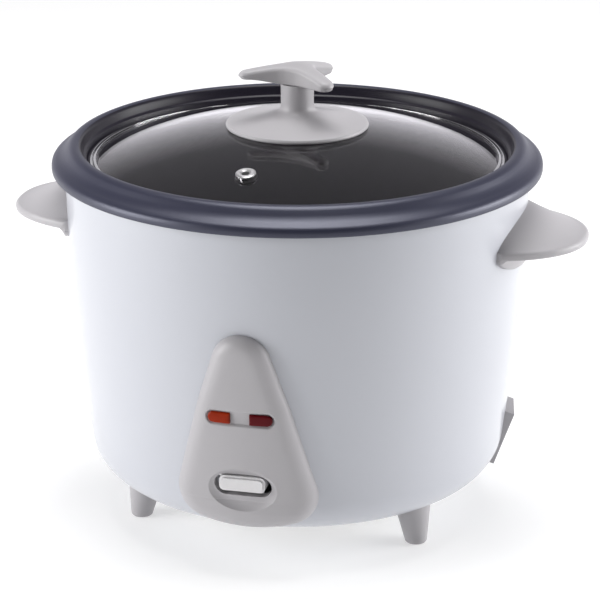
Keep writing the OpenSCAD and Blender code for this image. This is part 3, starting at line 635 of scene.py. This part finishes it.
def egg_outline():
    """Half of the panel's outline in X and Z, from its foot round to its top: four circles in turn."""
    a0 = math.degrees(math.atan2(EGG_CORNER[1] - EGG_BOTTOM[1], EGG_CORNER[0]))
    a1, a2 = tangent_angle(EGG_CORNER, EGG_SIDE), tangent_angle(EGG_SIDE, EGG_TOP)
    half = arc(*EGG_BOTTOM, -90, a0, 24)
    half += arc(*EGG_CORNER, a0, a1, 50)[1:]
    half += arc(*EGG_SIDE, a1, a2, 8)
    return half + arc(*EGG_TOP, a2, 90, 40)


def stadium_outline(z, w, h):
    half = (w - h) / 2
    return [(0, z - h / 2), *arc(half, z, h / 2, -90, 90, 60), (0, z + h / 2)]


def evenly(line, count):
    """count + 1 points spaced evenly along a line."""
    lengths = [0.0]
    for a, b in zip(line, line[1:]):
        lengths.append(lengths[-1] + math.dist(a, b))
    out, k = [], 0
    for i in range(count + 1):
        want = lengths[-1] * i / count
        while k < len(line) - 2 and lengths[k + 1] < want:
            k += 1
        share = (want - lengths[k]) / max(1e-9, lengths[k + 1] - lengths[k])
        out.append((mix(line[k][0], line[k + 1][0], share), mix(line[k][1], line[k + 1][1], share)))
    return out


def mirrored(half):
    """A closed loop from a half outline that starts and ends on the middle line."""
    return half + [(-x, z) for x, z in reversed(half[1:-1])]


def dish_depth(x, z):
    """A scoop round the lever slot, deepest at the slot's edge."""
    out = math.hypot(x / DISH_HALF_W, (z - DISH_MID_Z) / DISH_HALF_H)
    inward = min(1.0, max(0.0, (1 - out) / 0.42))
    return DISH_DEPTH * inward * (2 - inward) ** 0.8


def strip_depth(x, z):
    """A shallow trough between the two lamps."""
    half = (STRIP_W - STRIP_H) / 2
    off = math.hypot(max(0.0, abs(x) - half), z - LENS_Z) - STRIP_H / 2
    return STRIP_DEPTH * smooth(0.5 - off / STRIP_DEPTH)


def panel_height(x, z, edge):
    """How far the panel stands out from the wall at a place this far in from its outline."""
    soft = 1 - min(1.0, edge / SOFT_EDGE)
    height = PROUD * (1 - soft**SOFT_POWER) ** 0.5
    return max(0.0, height - dish_depth(x, z) - strip_depth(x, z))


def distance_to(points, loop):
    """Distance of each point from a closed line."""
    a = np.array(loop)
    b = np.roll(a, -1, axis=0)
    p = np.array(points)[:, None, :]
    along = np.clip(((p - a) * (b - a)).sum(2) / ((b - a) ** 2).sum(1), 0, 1)
    return np.linalg.norm(p - (a + along[:, :, None] * (b - a)), axis=2).min(1)


def on_wall(x, z, proud):
    """A point standing out from the wall, or from the body's rounded foot further down."""
    drop = CORNER_MID[1] - z
    radius = wall_r(z) + proud
    if drop > 0:
        reach = CORNER_R + proud
        radius = min(radius, CORNER_MID[0] + math.sqrt(max(reach * reach - drop * drop, 0.0)))
    return (x, -math.sqrt(radius * radius - x * x), z)


def panel_rings(columns=200, rings=150):
    """From the slot over the front to the outline, and back along the wall into the slot's throat."""
    inner = mirrored(evenly(stadium_outline(SLOT_Z, SLOT_W, SLOT_H), columns))
    outer = mirrored(evenly(egg_outline(), columns))
    front = []
    for i in range(rings + 1):
        share = 1 - (1 - i / rings) ** 1.15
        flat = [(mix(x0, x1, share), mix(z0, z1, share)) for (x0, z0), (x1, z1) in zip(inner, outer)]
        edges = distance_to(flat, outer)
        front.append([on_wall(x, z, panel_height(x, z, e)) for (x, z), e in zip(flat, edges)])
    behind = [[on_wall(mix(x0, x1, share), mix(z0, z1, share), -0.4)
               for (x0, z0), (x1, z1) in zip(inner, outer)] for share in (1.0, 0.6, 0.3)]
    throat = [(x, -112.0, z) for x, z in inner]
    return front + behind + [throat]


add_piece("panel_skin", *looped(panel_rings()), GREY, "housing", ("control_panel",), "grey_plastic", 45)


LENS_HALF = 2.95
LENS_IN, LENS_OUT = 5.0, 16.8


def lens_rings(side):
    """A lamp lens: round at its outer end, square at its inner end, with a softly curved front."""
    far = LENS_OUT - LENS_HALF
    corners = [(far, LENS_Z - LENS_HALF, 0), (LENS_IN, LENS_Z - LENS_HALF, 0.4),
               (LENS_IN, LENS_Z + LENS_HALF, 0.4), (far, LENS_Z + LENS_HALF, 0)]
    loop = rounded(corners, closed=False) + arc(far, LENS_Z, LENS_HALF, 90, -90, 24)[1:-1]
    middle = (LENS_IN + LENS_OUT) / 2
    face = wall_r(LENS_Z) + PROUD + 0.25
    rings = []
    for inset, back in ((0, 5), (0, 0.75), (0.1, 0.35), (0.35, 0.12), (0.75, 0), (1.6, -0.06), (2.4, -0.1)):
        wide, tall = 1 - inset / (LENS_OUT - middle), 1 - inset / LENS_HALF
        flat = [(side * (middle + (x - middle) * wide), LENS_Z + (z - LENS_Z) * tall) for x, z in loop]
        rings.append([(x, -math.sqrt((face - back) ** 2 - x * x), z) for x, z in flat])
    return rings


add_piece("keep_warm_window", *capped(lens_rings(-1)), ORANGE, "housing", ("keep_warm_lens",), "orange_lens")
add_piece("cook_window", *capped(lens_rings(1)), RED, "housing", ("cook_lens",), "red_lens")

# ---------------------------------------------------------------- feet
FOOT_R = 89.0
FOOT_TURNS = {"foot_front_left": -58.5, "foot_front_right": 58.5, "foot_rear": 180}


def foot_rings(turn, size=64):
    """Rings from the table up to the body's underside, which cuts the last one."""
    spin = Matrix.Rotation(math.radians(turn), 3, "Z")
    ground = ((4.6, 0.0), (5.3, 0.25), (5.8, 0.8), (6.0, 1.6))
    rings = [[spin @ Vector((r * math.cos(a), -FOOT_R + r * math.sin(a), z))
              for a in (math.tau * k / size for k in range(size))] for r, z in ground]
    for i in range(1, 13):
        ring = []
        for k in range(size):
            a = math.tau * k / size
            start = Vector((6.0 * math.cos(a), -FOOT_R + 6.0 * math.sin(a), 1.6))
            end = Vector((10.6 * math.cos(a), -FOOT_R + 3.6 + 10.6 * math.sin(a), 26.0))
            near, far = 0.0, 1.0
            for _ in range(24):
                t = (near + far) / 2
                p = start.lerp(end, t)
                if p.z < body_low_z(math.hypot(p.x, p.y)) + 0.3:
                    near = t
                else:
                    far = t
            ring.append(spin @ start.lerp(end, near * i / 12))
        rings.append(ring)
    return rings


for name, turn in FOOT_TURNS.items():
    add_piece(name + "_skin", *capped(foot_rings(turn)), GREY, "housing", (name,), "grey_plastic", 40)

# ---------------------------------------------------------------- bevels on CAD pieces
for name, width in (("inlet_housing", 0.7), ("lever_paddle", 0.5)):
    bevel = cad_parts[name].modifiers.new("soft_edges", "BEVEL")
    bevel.width = width * MM
    bevel.segments = 3
    bevel.limit_method = "ANGLE"
    bevel.angle_limit = math.radians(35)

# ---------------------------------------------------------------- floor, light, camera
bpy.ops.mesh.primitive_plane_add(size=8, location=(0, 0, -0.0001))
floor = bpy.context.object
floor.name = "floor"
floor.data.materials.append(PAPER)

world = bpy.data.worlds.new("studio")
bpy.context.scene.world = world
world.use_nodes = True
tree = world.node_tree
sky = tree.nodes["Background"]
direction = tree.nodes.new("ShaderNodeTexCoord").outputs["Generated"]
parts = tree.nodes.new("ShaderNodeSeparateXYZ")
tree.links.new(direction, parts.inputs[0])
front_to_back = mapped(tree.nodes, tree.links, parts.outputs[1], -0.6, 0.4, 0.03, 1.1)
horizon_to_top = mapped(tree.nodes, tree.links, parts.outputs[2], 0.0, 0.46, 1.0, 0.20)
power = tree.nodes.new("ShaderNodeMath")
power.operation = "MULTIPLY"
tree.links.new(front_to_back, power.inputs[0])
tree.links.new(horizon_to_top, power.inputs[1])
tree.links.new(power.outputs[0], sky.inputs["Strength"])
sky.inputs["Color"].default_value = (0.99, 0.975, 1.03, 1)


def soft_light(name, place, aim, size, power):
    """A rectangular soft box that faces a point. Places are in metres."""
    data = bpy.data.lights.new(name, "AREA")
    data.shape = "RECTANGLE"
    data.size, data.size_y = size
    data.energy = power
    light = bpy.data.objects.new(name, data)
    bpy.context.scene.collection.objects.link(light)
    light.location = place
    light.rotation_euler = (Vector(aim) - Vector(place)).to_track_quat("-Z", "Y").to_euler()


# Each soft box: its place, what it faces, its width and height in metres, and its power in watts
SOFT_BOXES = {
    "left_box": ((-1.24, -0.62, 0.42), (0, 0, 0.12), (0.9, 0.8), 17.8),
    "right_box": ((1.38, 0.40, 0.42), (0, 0, 0.12), (1.0, 0.8), 19),
    "top_box": ((0.06, 0.0, 1.9), (0, 0, 0.1), (1.1, 1.1), 20),
    "over_box": ((-0.15, 0.50, 2.1), (0, 0.3, 0.0), (1.4, 0.9), 16),
}
for name, setting in SOFT_BOXES.items():
    soft_light(name, *setting)

CAMERA_TURN = math.radians(13.4)
CAMERA_RISE = math.radians(19.45)
CAMERA_FAR = 1.4
CAMERA_AIM_Z = 0.1139
CAMERA_LENS, CAMERA_SENSOR = 155.2, 36
SIDE_STEP = 0.0014
aside = Vector((math.cos(CAMERA_TURN), math.sin(CAMERA_TURN), 0)) * SIDE_STEP
target = Vector((0, 0, CAMERA_AIM_Z)) + aside
back = Vector((math.sin(CAMERA_TURN) * math.cos(CAMERA_RISE), -math.cos(CAMERA_TURN) * math.cos(CAMERA_RISE),
               math.sin(CAMERA_RISE)))
camera = bpy.data.objects.new("camera", bpy.data.cameras.new("camera"))
bpy.context.scene.collection.objects.link(camera)
camera.location = target + back * CAMERA_FAR
camera.rotation_euler = (-back).to_track_quat("-Z", "Y").to_euler()
camera.data.lens = CAMERA_LENS
camera.data.sensor_width = CAMERA_SENSOR
bpy.context.scene.camera = camera
bpy.context.scene.view_settings.view_transform = "Standard"
